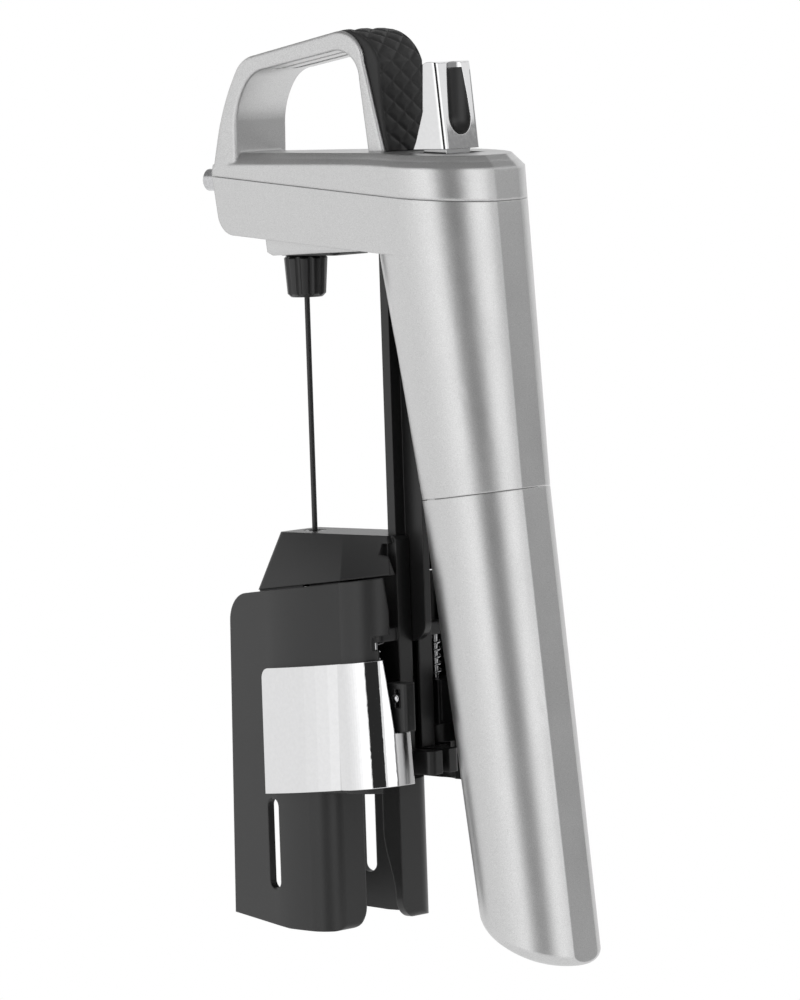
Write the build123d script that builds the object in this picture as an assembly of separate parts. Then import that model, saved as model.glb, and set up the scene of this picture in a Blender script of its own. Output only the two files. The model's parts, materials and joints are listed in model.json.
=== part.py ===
from build123d import *
import os
from math import asin, atan2, cos, degrees, hypot, pi, radians, sin, sqrt, tan

# Wine preservation dispenser. Millimetres, +Z up along the needle, +X towards the gas tube.
# The origin is on the needle's axis, halfway up the grip that holds the bottle's neck.

# ------------------------------------------------------------------ fits and clearances
run_fit = 0.05            # radial clearance of a pin or stem that turns or slides
slide_gap = 0.25          # clearance of the rail in its channel, each side
part_gap = 0.3            # gap between pieces of different bodies that only pass each other
seat_gap = 0.05           # gap at a curved seat inside one body

# ------------------------------------------------------------------ bottle neck and its grip
neck_r = 14.1             # wall radius of the grip round the neck
grip_height = 24.0        # height of the saddle and the grip pads
pad_thickness = 2.0       # rubber thickness of the saddle and the grip pads
saddle_half_angle = 58.0  # the saddle spans this angle each side of +X
pad_start_angle = 62.0    # where a jaw's grip pad begins, measured from +X
pad_end_angle = 138.0     # and where it ends
lip_stop_z = 31.0         # face that the bottle's mouth stops against
stop_pad_thickness = 2.0

# ------------------------------------------------------------------ clamp housing and column
housing_top_z = 45.0
housing_front_x = -6.0    # front edge of the flat top
housing_top_half = 8.0    # half width of the flat top
housing_back_x = 32.0      # rear edge of the flat top
skirt_front_x = -9.5      # front edge at the lower seam
skirt_front_half = 15.0
skirt_fold_x = 24.5       # where the hood's side is widest
skirt_half = 20.0
skirt_back_x = 36.1       # rear edge of the hood at the lower seam
skirt_back_half = 12.4
hood_wall = 2.1           # thickness of the hood's side walls at the open back
seam_front_z = 30.9       # height of the lower seam on the needle's axis
seam_slope = 0.115        # the seam climbs this much per millimetre towards the tube
column_lip = 1.05         # thickness of the column's lips behind the rail's flange
column_cheek = 1.3        # thickness of the column beside the rail's flange
column_front_half = 13.4  # half width where the column carries the saddle
shoulder_x = 22.5         # the column narrows behind this to clear the knuckles
column_bottom_z = -12.2
column_join_z = 33.0
bracket_thickness = 6.2
bracket_back_x = 43.0
bracket_back_half = 6.0
bracket_lug_r = 3.4
bracket_front_x = 23.6
lug_thickness = 3.4       # upper lug that holds the hinge pins
brake_pad_height = 12.0
brake_pad_half = 4.0
brake_pad_thickness = 2.2
guide_r = 3.0             # needle guide bush
screw_r = 1.0
screw_head_r = 1.9
screw_head_height = 1.4

# ------------------------------------------------------------------ guide rail
rail_front_x = 29.9
rail_half = 5.2
rail_thickness = 2.6
web_half = 1.2
web_back_x = 38.5
rail_bottom_z = 16.5
rail_top_drop = 15.5      # the rail ends this far below the head's top
web_corner_r = 5.0

# ------------------------------------------------------------------ jaws
pin_x = 30.0
pin_y = 12.5
pin_r = 1.0
knuckle_r = 3.4
knuckle_top_z = 5.0
knuckle_block_bottom_z = -7.0
knuckle_front_x = 24.5
knuckle_inner_y = 9.3
jaw_front_x = -18.6
jaw_front_y = 16.4
jaw_bend_x = -1.0
jaw_bend_y = 20.4
jaw_side_x = 13.0
jaw_side_y = 22.2
jaw_shoulder_x = 25.5
jaw_shoulder_y = 21.0
jaw_rear_r = 7.0          # outer radius round the hinge pin
jaw_wall = 2.4
jaw_front_lean = 2.2      # the front edge leans out by this much over the jaw's height
jaw_top_corner_r = 8.0
jaw_bottom_front_z = -57.2
jaw_bottom_z = -59.8
leg_top_z = -22.4
leg_back_x = 20.2
leg_inner_y = 7.5
leg_corner_r = 6.5
leg_end_r = 5.5           # rounding of the leg's rear wall at its lower inner corner
leg_gusset = 6.1          # thickness of the leg's rear wall at its top
leg_gusset_z = -35.0      # below this the rear wall gets thinner
jaw_rear_top_y = 15.2     # the shell's rear edge at its top
jaw_rear_low_y = 13.2     # and just above the notch
notch_top_z = 19.3        # notch in the shell's rear above the plate
notch_bottom_z = 15.6
notch_front_x = 34.0
notch_rear_y = 16.8       # the shell's rear edge below the notch
slot_x = -0.3
slot_width = 4.6
slot_top_z = -25.0
slot_bottom_z = -49.5
plate_thickness = 1.5
plate_front_x = -1.8
plate_corner_r = 2.8
plate_top_z = 9.9         # height of the plate's top edge on the needle's axis
plate_bottom_z = -23.6
plate_slope = 0.085
plate_flare = 2.6         # the plate's rear corner grows by this much at its lower edge
tab_top_z = -6.3
tab_inner_y = 11.0
plate_edge_top_y = 17.4   # rear edge of the plate at its top
plate_edge_low_y = 16.3   # and above the tab
heel_back_x = 42.2
heel_top_z = 6.8
heel_inner_y = 10.5
heel_outer_y = 15.0
keeper_pin_r = 1.05

# ------------------------------------------------------------------ jaw springs
spring_wire = 0.55
spring_r = 1.55           # radius of the wire's centre line
spring_pitch = 1.95
spring_turns = 5
spring_leg = 3.2          # leg that rests on the jaw
spring_column_leg = 4.0   # leg that rests on the column

# ------------------------------------------------------------------ gas tube and head casing
seam_x = 59.7             # where the tube's axis crosses the cup's seam
seam_z = 56.5
tube_tilt = 6.75          # degrees the tube leans away from the needle
seam_r = 16.9
body_taper = 0.045        # growth of the radius per millimetre above the seam
cup_taper = 0.0145        # shrink of the radius per millimetre below the seam
facet_width = 9.5         # flat strip down the tube's back
casing_wall = 1.8
rib_half = 7.5            # flat rib down the front of the upper tube
rib_edge = 1.0
head_top_z = 146.5
head_front_x = -23.9
head_front_half = 9.7
head_depth = 21.6         # from the top down to the underside at the chin
head_under_slope = 0.075
nose_drop = 5.2           # the head reaches furthest forward this far below its top
nose_rake = 2.8           # the chin lies this far behind the nose
chin_r = 6.5
top_fall_x = 38.0         # the top is level as far back as this
top_fall = 0.045          # and falls by this much per millimetre behind it
cover_seam_drop = 8.0     # cover seam below the head's top, on the needle's axis
cover_seam_slope = 0.075
seam_line = 0.12          # visible gap of a seam
top_chamfer = 3.2

# ------------------------------------------------------------------ handle
handle_length = 61.0      # from the head's front to the foot of the rear leg
handle_height = 31.8
handle_half = 10.5
handle_edge_r = 0.8
handle_root = 4.0         # the legs reach this far into the cover
grip_recess = 1.2
grip_half = 9.3
grip_front_x = -9.0

# ------------------------------------------------------------------ spout, valve block and needle
spout_drop = 7.5          # the spout's axis below the head's top
spout_r = 3.0
spout_bore_r = 1.7
spout_reach = 9.7         # how far the spout stands out of the head
belly_front_x = -5.2      # boss under the head round the valve block
belly_back_x = 30.3
belly_half = 9.4
belly_slope = 0.04
block_front_x = -3.6
block_back_x = 17.0
block_half = 7.6
block_drop = 5.9          # the block's lower face below the chin
block_height = 13.0
needle_r = 0.73
needle_bore_r = 0.42
needle_tip_z = 37.0
needle_grip = 7.5         # length of the needle inside the block
needle_point = 3.0
nut_top_r = 5.9
nut_bottom_r = 5.1
nut_height = 11.3
nut_chamfer = 0.9
nut_flutes = 10
nut_flute_r = 0.95
pipe_r = 1.5
pipe_bore_r = 0.9

# ------------------------------------------------------------------ trigger and valve
pivot_x = 57.5
pivot_drop = 7.3          # the trigger's pivot below the head's top
trigger_half = 7.5
trigger_depth = 12.6      # from the pivot forward to the trigger's foot
trigger_height = 22.9
trigger_travel = 9.0      # degrees
trigger_pin_r = 1.5
stem_r = 1.6
stem_offset = 7.5         # distance of the stem from the trigger's pivot along X
lobe_r = 2.0
regulator_r = 12.5
regulator_height = 46.0
regulator_stub_r = 11.4
regulator_base = 16.0     # height of the regulator's shoulder above the seam

# ------------------------------------------------------------------ gas capsule and its cup
cup_bottom_z = -67.0
cup_wall = 1.5
cup_dome_r = 29.0         # the cup's lower end is domed, most of all at its front
cup_dome_back = 8.5       # centre of the dome behind the tube's axis
cup_edge_r = 2.5
capsule_r = 11.0
capsule_length = 86.0
capsule_neck_r = 4.2
capsule_wall = 1.4
collar_height = 12.0

# ------------------------------------------------------------------ derived places
grip_half_height = grip_height / 2
pad_back_r = neck_r + pad_thickness
rail_back_x = rail_front_x + rail_thickness
rail_top_z = head_top_z - rail_top_drop
column_half = rail_half + slide_gap + column_cheek
column_back_x = rail_back_x + slide_gap + column_lip
head_chin_x = head_front_x + nose_rake
head_under_z = head_top_z - head_depth
cover_seam_z = head_top_z - cover_seam_drop
spout_z = head_top_z - spout_drop
spout_tip_x = head_front_x - spout_reach
pivot_z = head_top_z - pivot_drop
block_bottom_z = head_under_z - block_drop
block_top_z = block_bottom_z + block_height
needle_top_z = block_bottom_z + needle_grip
nut_top_z = block_bottom_z - seat_gap
nut_bottom_z = nut_top_z - nut_height
bracket_bottom_z = column_bottom_z - bracket_thickness
spring_slope = spring_pitch / (2 * pi * spring_r)
spring_foot_z = knuckle_top_z + 0.2 + spring_leg * spring_slope + spring_wire / 2
spring_top_z = spring_foot_z + spring_turns * spring_pitch + spring_column_leg * spring_slope + spring_wire / 2
lug_bottom_z = spring_top_z + part_gap
valve_travel = stem_offset * radians(trigger_travel)
tube_place = Pos(seam_x, 0, seam_z) * Rot(0, -tube_tilt, 0)


def box_between(x0, x1, y0, y1, z0, z1):
    """A box given by its two corners."""
    return Pos((x0 + x1) / 2, (y0 + y1) / 2, (z0 + z1) / 2) * Box(x1 - x0, y1 - y0, z1 - z0)


def rod(x, y, z0, z1, r):
    """A vertical cylinder."""
    return Pos(x, y, (z0 + z1) / 2) * Cylinder(r, z1 - z0)


def mirror_y(shape):
    """The same shape on the other side of the XZ plane."""
    return mirror(shape, about=Plane.XZ)


def side_extrusion(face, half):
    """A face drawn in X and Z, made solid from -half to +half along Y."""
    return extrude(Plane.XZ * face, amount=half, both=True)


def above_slope(z_at_axis, slope, reach=400):
    """Everything above a plane that climbs along X."""
    block = Pos(0, 0, reach / 2) * Box(reach, reach, reach)
    return Pos(0, 0, z_at_axis) * Rot(0, -degrees(atan2(slope, 1)), 0) * block


def sector(r_in, r_out, start, end, z0, z1):
    """Part of a ring round the needle's axis, between two angles from +X."""
    mid = (start + end) / 2
    with BuildSketch() as plan:
        with BuildLine():
            a = [(cos(radians(t)), sin(radians(t))) for t in (start, mid, end)]
            inner = ThreePointArc(*[(r_in * c, r_in * s) for c, s in a])
            outer = ThreePointArc(*[(r_out * c, r_out * s) for c, s in a])
            Line(inner @ 0, outer @ 0)
            Line(inner @ 1, outer @ 1)
        make_face()
    return Pos(0, 0, z0) * extrude(plan.sketch, amount=z1 - z0)


# ================================================================== tube, casing and cover
def tube_radius(height):
    """Outer radius at a height above the cup's seam, along the tube's axis."""
    return seam_r + height * (body_taper if height > 0 else cup_taper)


def behind_flat(radius):
    """Everything behind the flat strip at the back of a round section."""
    flat_x = sqrt(radius ** 2 - (facet_width / 2) ** 2)
    return Pos(flat_x + radius, 0) * Rectangle(2 * radius, 4 * radius)


def tube_section(radius, height):
    """Round section with the flat strip at the back."""
    return Pos(0, 0, height) * (Circle(radius) - behind_flat(radius))


def tube_form(inset, low, high):
    """The tube between two heights, with every surface moved in by inset."""
    sections = [tube_section(tube_radius(h) - inset, h) for h in (low, high)]
    return tube_place * loft(sections, ruled=True)


def axis_x(z):
    """X of the tube's axis at a height in the frame."""
    return seam_x - (z - seam_z) * tan(radians(tube_tilt))


def head_plan(z, inset):
    """Plan of the head: straight sides from the front, tangent to the tube."""
    r = tube_radius(z - seam_z) - inset
    front = head_front_x + inset
    half = head_front_half - inset
    run = axis_x(z) - front
    lean = asin(r / hypot(run, half)) - atan2(half, run)
    tx = axis_x(z) - r * sin(lean)
    ty = r * cos(lean)
    return Pos(0, 0, z) * make_face(Polyline((front, half), (tx, ty), (tx, -ty), (front, -half), close=True))


def head_profile():
    """Side outline of the head, in X and Z, as far back as the tube's axis."""
    back = axis_x(head_under_z)
    nose_z = head_top_z - nose_drop
    brow_x = on_handle(0, 0)[0] + nose_drop * handle_rake
    outline = Polyline(
        (brow_x, head_top_z), (head_front_x, nose_z), (head_chin_x, head_under_z),
        (back, under_z(back)), (back, head_top_z), close=True)
    face = make_face(outline)
    chin = [v for v in face.vertices() if abs(v.X - head_chin_x) < 0.01]
    return fillet(chin, chin_r)


def top_lid(inset):
    """Everything above the head's top, which falls a little towards the back."""
    top = head_top_z - inset
    return above_slope(top, 0) + above_slope(top + top_fall * top_fall_x, -top_fall)


def casing_form(inset):
    """Head and upper tube together, moved in by inset."""
    tube = tube_form(inset, 0, (head_top_z - seam_z) / cos(radians(tube_tilt)) + 6)
    low_z = head_under_z - head_under_slope * (axis_x(head_under_z) - head_chin_x) - 1
    plan = loft([head_plan(low_z, inset), head_plan(head_top_z, inset)], ruled=True)
    head = plan & side_extrusion(offset(head_profile(), -inset) if inset else head_profile(), 40)
    return tube + head - top_lid(inset)


def cover_half(form, gap):
    """The part of a form above the cover's seam, raised by gap."""
    return form & above_slope(cover_seam_z + gap, -cover_seam_slope)


def casing_half(form):
    """The part of a form below the cover's seam."""
    return form - above_slope(cover_seam_z, -cover_seam_slope)


handle_rake = 0.3         # the front leg leans back by this much per millimetre


def on_handle(u, v):
    """A point of the handle's side outline, in shares of its length and height."""
    return head_front_x + u * handle_length, head_top_z + v * handle_height


def handle_outer():
    """Outer side outline of the handle, down into the cover's top."""
    root = -handle_root / handle_height
    with BuildSketch() as side:
        with BuildLine():
            front = Line(on_handle(0.016, root), on_handle(0.057, 0.198))
            lower = ThreePointArc(front @ 1, on_handle(0.108, 0.475), on_handle(0.162, 0.676))
            corner = ThreePointArc(lower @ 1, on_handle(0.197, 0.758), on_handle(0.254, 0.811))
            bar = Line(corner @ 1, on_handle(0.744, 1.0))
            back = ThreePointArc(bar @ 1, on_handle(0.844, 0.953), on_handle(0.898, 0.758))
            leg = Line(back @ 1, on_handle(1.015, root))
            Line(leg @ 1, front @ 0)
        make_face()
    return side.sketch


def handle_inner():
    """Opening of the handle, seen from the side."""
    root = -2 * handle_root / handle_height
    with BuildSketch() as side:
        with BuildLine():
            front = Line(on_handle(0.152, root), on_handle(0.159, 0.267))
            lower = ThreePointArc(front @ 1, on_handle(0.180, 0.437), on_handle(0.215, 0.563))
            corner = ThreePointArc(lower @ 1, on_handle(0.262, 0.654), on_handle(0.336, 0.701))
            bar = Line(corner @ 1, on_handle(0.710, 0.830))
            back = ThreePointArc(bar @ 1, on_handle(0.828, 0.783), on_handle(0.870, 0.601))
            leg = Line(back @ 1, on_handle(0.928, root))
            Line(leg @ 1, front @ 0)
        make_face()
    return side.sketch


def grip_outer():
    """Outer side outline of the grip: thin along the bar, with a swell for the palm at the rear."""
    with BuildSketch() as side:
        with BuildLine():
            bar = Line(on_handle(0.2, 0.806), on_handle(0.744, 1.014))
            swell = ThreePointArc(bar @ 1, on_handle(0.889, 0.956), on_handle(0.977, 0.739))
            leg = ThreePointArc(swell @ 1, on_handle(0.984, 0.425), on_handle(1.015, 0.003))
            Polyline(leg @ 1, on_handle(0.8, 0.003), on_handle(0.2, 0.6), bar @ 0)
        make_face()
    return side.sketch


def grip_zone(front_x):
    """Where the rubber grip may lie, seen from the side."""
    length, height = 2 * handle_length, 2 * handle_height
    return Pos(front_x + length / 2, head_top_z + height / 2) * Rectangle(length, height)


def grip_pocket():
    """Shallow pocket in the handle under the grip, seen from the side."""
    return (handle_outer() - offset(handle_outer(), -grip_recess)) & grip_zone(grip_front_x)


def handle_loop():
    """Looped handle; the front leg runs down flush with the head's sides."""
    loop = side_extrusion(handle_outer() - handle_inner(), handle_half)
    sides = loop.edges().filter_by(lambda e: abs(abs(e.center().Y) - handle_half) < 0.01)
    loop = fillet(sides, handle_edge_r)
    flush = extrude(head_plan(head_top_z, 0), amount=2 * handle_height, both=True)
    loop = loop & flush
    loop -= side_extrusion(grip_pocket(), grip_half)
    return loop - handle_slot(1) - handle_slot(-1)


def top_cover():
    """Cover shell with the looped handle cast on it."""
    outer = cover_half(casing_form(0), seam_line)
    tops = outer.faces().filter_by(lambda f: f.normal_at().Z > 0.9 and f.center().Z > cover_seam_z + top_chamfer)
    rim = [e for f in tops for e in f.edges() if abs(e.center().Y) > 0.01 or abs(e.center().X - top_fall_x) > 0.1]
    shell = chamfer(rim, top_chamfer) - casing_form(casing_wall)
    cover = shell + handle_loop()
    side = trigger_half + part_gap
    cover -= box_between(trigger_slot_front(), pivot_x - 0.9, -side, side, pivot_z + 1.8, head_top_z + 10)
    for y in (-1, 1):
        cover += trigger_ear(y)
    cover += screw_bosses()
    cover -= spout_hole()
    return cover


def handle_slot(side):
    """One shallow slot in the underside of the handle's top bar."""
    slot = extrude(SlotOverall(0.44 * handle_length, 2.4), amount=1.6)
    x, z = on_handle(0.526, 0.745)
    return Pos(x, side * 3.6, z) * Rot(0, -10.1, 0) * slot


def trigger_ear(side):
    """Lug inside the cover that holds one end of the trigger's pin."""
    y0 = side * (trigger_half + part_gap)
    y1 = side * (trigger_half + part_gap + 2.6)
    lug = box_between(pivot_x - 3.2, pivot_x + 3.2, min(y0, y1), max(y0, y1), pivot_z - 3.2, head_top_z - casing_wall)
    hole = Pos(pivot_x, 0, pivot_z) * Rot(90, 0, 0) * Cylinder(trigger_pin_r + run_fit, 40)
    return lug - hole


screw_places = [(-12.5, 6.2), (-12.5, -6.2), (26.0, 12.6), (26.0, -12.6)]
screw_top_z = head_top_z - casing_wall - 1.3
boss_r = 2.7


def under_z(x):
    """Height of the head's underside."""
    return head_under_z - head_under_slope * (x - head_chin_x)


def cover_seam_at(x):
    """Height of the cover's seam."""
    return cover_seam_z - cover_seam_slope * x


def screw_bosses():
    """Bosses under the cover's top that take the screws from below."""
    hole_r = screw_r + seat_gap
    bosses = [
        rod(x, y, cover_seam_at(x) + seam_line, head_top_z - casing_wall, boss_r)
        - rod(x, y, block_bottom_z, screw_top_z + 0.3, hole_r)
        for x, y in screw_places]
    return bosses[0] + bosses[1:]


def spout_hole():
    """Opening for the spout at the seam."""
    return Pos(head_front_x, 0, spout_z) * Rot(0, 90, 0) * Cylinder(spout_r + seat_gap, 12)


def belly():
    """Boss under the head that takes the valve block, with a raked front."""
    side = make_face(Polyline(
        (belly_front_x, block_bottom_z), (belly_back_x, block_bottom_z + belly_slope * (belly_back_x - belly_front_x)),
        (belly_back_x, under_z(belly_back_x) + casing_wall), (belly_front_x + 1.2, under_z(belly_front_x) + casing_wall),
        (belly_front_x - 0.6, under_z(belly_front_x)), close=True))
    boss = side_extrusion(side, belly_half)
    return chamfer(boss.faces().sort_by(Axis.Z)[0].edges(), rib_edge)


def front_rib(inset):
    """Flat rib down the front of the upper tube that meets the boss under the head."""
    top_x, top_z = belly_back_x, block_bottom_z + belly_slope * (belly_back_x - belly_front_x)
    side = make_face(Polyline(
        (seam_x - sqrt(seam_r ** 2 - rib_half ** 2) + inset, seam_z), (top_x + 4.9 + inset, top_z - 22.2),
        (top_x + 1.4 + inset, top_z - 3.5), (top_x + 0.6 + inset, top_z + 2),
        (top_x + seam_r, top_z + 2), (seam_x, seam_z), close=True))
    rib = side_extrusion(side, rib_half)
    edges = rib.edges().filter_by(lambda e: abs(abs(e.center().Y) - rib_half) < 0.01 and e.center().X < seam_x - seam_r)
    return chamfer(edges, rib_edge) & tube_place * Pos(0, 0, 100) * Box(200, 200, 200)


def body_casing():
    """Lower head shell and the upper tube in one moulding."""
    shell = casing_half(casing_form(0)) + front_rib(0) - casing_form(casing_wall)
    posts = [rod(x, y, under_z(x) + 0.4, cover_seam_at(x), boss_r + 0.2) for x, y in screw_places]
    rail_seat = box_between(rail_back_x + seat_gap, rail_back_x + 5, -rail_half, rail_half,
                            under_z(rail_back_x) + 0.5, rail_top_z)
    shell = shell + posts + rail_seat + belly()
    low = block_bottom_z - 10
    for x, y in screw_places:
        shell -= rod(x, y, low, under_z(x) + 1.0 + screw_head_height + seat_gap, screw_head_r + 0.15)
        shell -= rod(x, y, low, head_top_z, screw_r + seat_gap)
    for z in rail_screw_heights:
        shell -= Pos(rail_back_x, 0, z) * Rot(0, 90, 0) * Cylinder(screw_r + seat_gap, 9)
    edge = seat_gap
    shell -= box_between(block_front_x - edge, block_back_x + edge, -block_half - edge, block_half + edge, low, block_top_z)
    shell -= box_between(rail_front_x - edge, rail_back_x + edge, -rail_half - edge, rail_half + edge, low - 10, head_top_z)
    return shell - spout_hole()


rail_screw_heights = (rail_top_z - 5.8, rail_top_z - 2.0)
rail_screw_head_r = 1.6


def cover_screws():
    """Four screws that hold the cover to the casing, driven from below."""
    screws = []
    for x, y in screw_places:
        head_z = under_z(x) + 1.0
        screw = rod(x, y, head_z, head_z + screw_head_height, screw_head_r)
        screw -= rod(x, y, head_z - 1, head_z + 0.7, 0.9)
        screws.append(screw + rod(x, y, head_z + screw_head_height, screw_top_z, screw_r))
    return Compound(children=screws)


def rail_screws():
    """Two screws through the rail's head into the casing."""
    screws = []
    for z in rail_screw_heights:
        head = Pos(rail_front_x - 0.7, 0, z) * Rot(0, 90, 0) * Cylinder(rail_screw_head_r, 1.4)
        head -= Pos(rail_front_x - 1.4, 0, z) * Rot(0, 90, 0) * Cylinder(0.9, 1.2)
        length = rail_thickness + 4.2
        shank = Pos(rail_front_x + length / 2, 0, z) * Rot(0, 90, 0) * Cylinder(screw_r, length)
        screws.append(head + shank)
    return Compound(children=screws)


def handle_grip():
    """Rubber grip over the top bar and down the rear leg."""
    face = grip_outer() - offset(handle_outer(), seat_gap - grip_recess)
    return side_extrusion(face & grip_zone(grip_front_x + seat_gap), grip_half - seat_gap)


# ================================================================== spout, valve block, pipes
def pipe(points, radii, r, bore):
    """A round pipe along straight runs with rounded corners."""
    path = FilletPolyline(*points, radius=radii)
    start = Plane(origin=path @ 0, z_dir=path % 0)
    solid = sweep(start * Circle(r), path=path)
    return solid - sweep(start * Circle(bore), path=path) if bore else solid


def wine_route():
    """From the valve block up to the spout's socket."""
    return [(block_front_x, 0, wine_z), (-11.0, 0, wine_z), (-15.4, 0, spout_z), (spout_inner_x + 3.0, 0, spout_z)]


def gas_route():
    """From the regulator to the back of the valve block."""
    over = rail_top_z + 3.0
    enter = rail_top_z - 9.5
    down_x = rail_back_x + 7.5
    return [(block_back_x, 0, gas_z), (24.0, 0, gas_z), (28.0, 0, over), (down_x, 0, over),
            (down_x, 0, enter), (down_x + 6.5, 0, enter)]


spout_inner_x = head_front_x - 0.6
gas_z = block_top_z - 2.5      # height of the gas pipe at the valve block
wine_z = block_top_z - 3.6     # height of the wine pipe at the valve block


def pour_spout():
    """Nozzle at the head's front with a socket for the wine pipe."""
    length = spout_inner_x + 5.4 - spout_tip_x
    place = Pos(spout_tip_x, 0, spout_z) * Rot(0, 90, 0)
    body = place * Pos(0, 0, length / 2) * Cylinder(spout_r, length)
    tip = body.edges().filter_by(GeomType.CIRCLE).sort_by(Axis.X)[0]
    body = chamfer(tip, 0.6)
    body -= place * Pos(0, 0, length / 2) * Cylinder(pipe_bore_r, length + 2)
    socket = length - (spout_inner_x + 3.0 - spout_tip_x)
    body -= place * Pos(0, 0, length) * Cylinder(pipe_r + seat_gap, 2 * socket)
    return body - place * Cylinder(spout_bore_r, 12)


def wine_tube():
    """Pipe from the valve block to the spout."""
    return pipe(wine_route(), 3.0, pipe_r, pipe_bore_r)


def gas_tube():
    """Pipe from the regulator to the valve block."""
    return pipe(gas_route(), 3.0, pipe_r, pipe_bore_r)


def valve_block():
    """Block under the head that joins the needle to the two pipes."""
    block = box_between(block_front_x, block_back_x, -block_half, block_half, block_bottom_z, block_top_z)
    block = fillet(block.edges().filter_by(Axis.Z), 2.0)
    block = chamfer(block.faces().sort_by(Axis.Z)[0].edges(), 0.5)
    low = block_bottom_z - 1
    block -= rod(0, 0, low, needle_top_z + 0.1, needle_r + seat_gap)
    block -= rod(0, 0, low, block_bottom_z + 5.3, seal_r + seat_gap)
    block -= rod(0, 0, low, block_bottom_z + spigot_height + 0.2, spigot_r + run_fit)
    wine_out = Pos(block_front_x, 0, wine_z) * Rot(0, 90, 0) * Cylinder(pipe_bore_r, -2 * block_front_x)
    gas_in = Pos(block_back_x, 0, gas_z) * Rot(0, 90, 0) * Cylinder(pipe_bore_r, 2 * block_back_x)
    return block - wine_out - gas_in - rod(0, 0, needle_top_z, gas_z + pipe_bore_r, pipe_bore_r)


seal_r = 2.6
spigot_r = 3.0            # the nut's thread, inside the block
spigot_height = 3.0


def needle_seal():
    """Rubber seal round the needle at the block's mouth."""
    ring = rod(0, 0, block_bottom_z + spigot_height + 0.3, block_bottom_z + 5.2, seal_r)
    return ring - rod(0, 0, block_bottom_z, needle_top_z, needle_r + seat_gap)


def needle():
    """Hollow needle with a closed pencil point and a side port."""
    shank = rod(0, 0, needle_tip_z + needle_point, needle_top_z, needle_r)
    point = Pos(0, 0, needle_tip_z + needle_point / 2) * Cone(0.12, needle_r, needle_point)
    solid = shank + point - rod(0, 0, needle_tip_z + needle_point + 0.6, needle_top_z + 1, needle_bore_r)
    port = Pos(needle_r, 0, needle_tip_z + needle_point + 2.2) * Rot(0, 90, 0) * Cylinder(needle_bore_r, 1.4)
    return solid - port


def needle_nut():
    """Fluted nut that holds the needle in the block."""
    middle = (nut_top_z + nut_bottom_z) / 2
    nut = Pos(0, 0, middle) * Cone(nut_bottom_r, nut_top_r, nut_height)
    rims = nut.edges().filter_by(GeomType.CIRCLE)
    nut = chamfer(rims, nut_chamfer)
    lean = degrees(atan2(nut_top_r - nut_bottom_r, nut_height))
    flute = Pos((nut_top_r + nut_bottom_r) / 2 + 0.45 * nut_flute_r, 0, middle) * Rot(0, lean, 0) * Cylinder(
        nut_flute_r, nut_height + 6)
    for i in range(nut_flutes):
        nut -= Rot(0, 0, i * 360 / nut_flutes) * flute
    nut += rod(0, 0, nut_top_z - 1, block_bottom_z + spigot_height, spigot_r)
    return nut - rod(0, 0, nut_bottom_z - 5, needle_top_z, needle_r + seat_gap)


# ================================================================== trigger and valve
def trigger_slot_front():
    """Front end of the trigger's slot, clear of the pressed trigger."""
    return pivot_x - 14.9


def on_trigger(u, v):
    """A point of the trigger's side outline, in shares of its depth and height."""
    return pivot_x + u * trigger_depth, head_top_z + v * trigger_height


def trigger():
    """Chrome lever with a thumb scoop, and the arm that pushes the valve stem."""
    with BuildSketch() as side:
        with BuildLine():
            front = Polyline(on_trigger(-1, 0.017), on_trigger(-0.92, 0.109), on_trigger(-0.825, 0.266),
                             on_trigger(-0.762, 0.965))
            top = ThreePointArc(front @ 1, on_trigger(-0.571, 1.013), on_trigger(-0.333, 1))
            back = Polyline(top @ 1, on_trigger(-0.31, 0.91), on_trigger(-0.143, 0.017))
            Line(back @ 1, front @ 0)
        make_face()
    body = side_extrusion(side.sketch, trigger_half)
    middle = head_top_z + trigger_height / 2
    uprights = body.edges().filter_by(lambda e: abs(e.center().Y) > trigger_half - 0.5
                                      and abs(e.center().Z - middle) < 4 and e.length > trigger_height / 2)
    body = fillet(uprights, 1.6)
    scoop_z = head_top_z + 0.39 * trigger_height
    scoop = rod(0, 0, scoop_z, scoop_z + 2 * trigger_height, scoop_r) + Pos(0, 0, scoop_z) * Sphere(scoop_r)
    body -= Pos(pivot_x + 0.6, 0, 0) * scoop
    neck = box_between(pivot_x - 11.1, pivot_x - 3.5, -5, 5, head_top_z - 3.5, head_top_z + 2)
    arm_side = make_face(Polyline(
        (pivot_x - 11.1, pivot_z + 4.8), (lobe_x - 1.6, lobe_z), (lobe_x + 0.4, lobe_z - 1.6),
        (pivot_x - 2.3, pivot_z - 1.4), (pivot_x + 0.5, pivot_z), (pivot_x, pivot_z + 2.7),
        (pivot_x - 3.5, pivot_z + 4.8), close=True))
    arm = side_extrusion(arm_side, 5)
    boss = Pos(pivot_x, 0, pivot_z) * Rot(90, 0, 0) * Cylinder(2.7, 2 * trigger_half)
    lobe = Pos(lobe_x, 0, lobe_z) * Rot(90, 0, 0) * Cylinder(lobe_r, 10)
    hole = Pos(pivot_x, 0, pivot_z) * Rot(90, 0, 0) * Cylinder(trigger_pin_r + run_fit, 40)
    return body + neck + arm + boss + lobe - hole


lobe_x = pivot_x - stem_offset
lobe_z = pivot_z - 0.4
scoop_r = 5.6


def trigger_pin():
    """Pivot pin of the trigger."""
    length = 2 * (trigger_half + part_gap + 2.4)
    return Pos(pivot_x, 0, pivot_z) * Rot(90, 0, 0) * Cylinder(trigger_pin_r, length)


def tube_height(z):
    """Height above the seam, along the tube's axis, of a point on the axis at frame height z."""
    return (z - seam_z) / cos(radians(tube_tilt))


stem_top = tube_height(lobe_z - lobe_r - part_gap)
stem_head = 2.0
regulator_top = regulator_base + regulator_height
boss_top = regulator_top + 7.0
stem_bottom = regulator_top - 14


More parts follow.
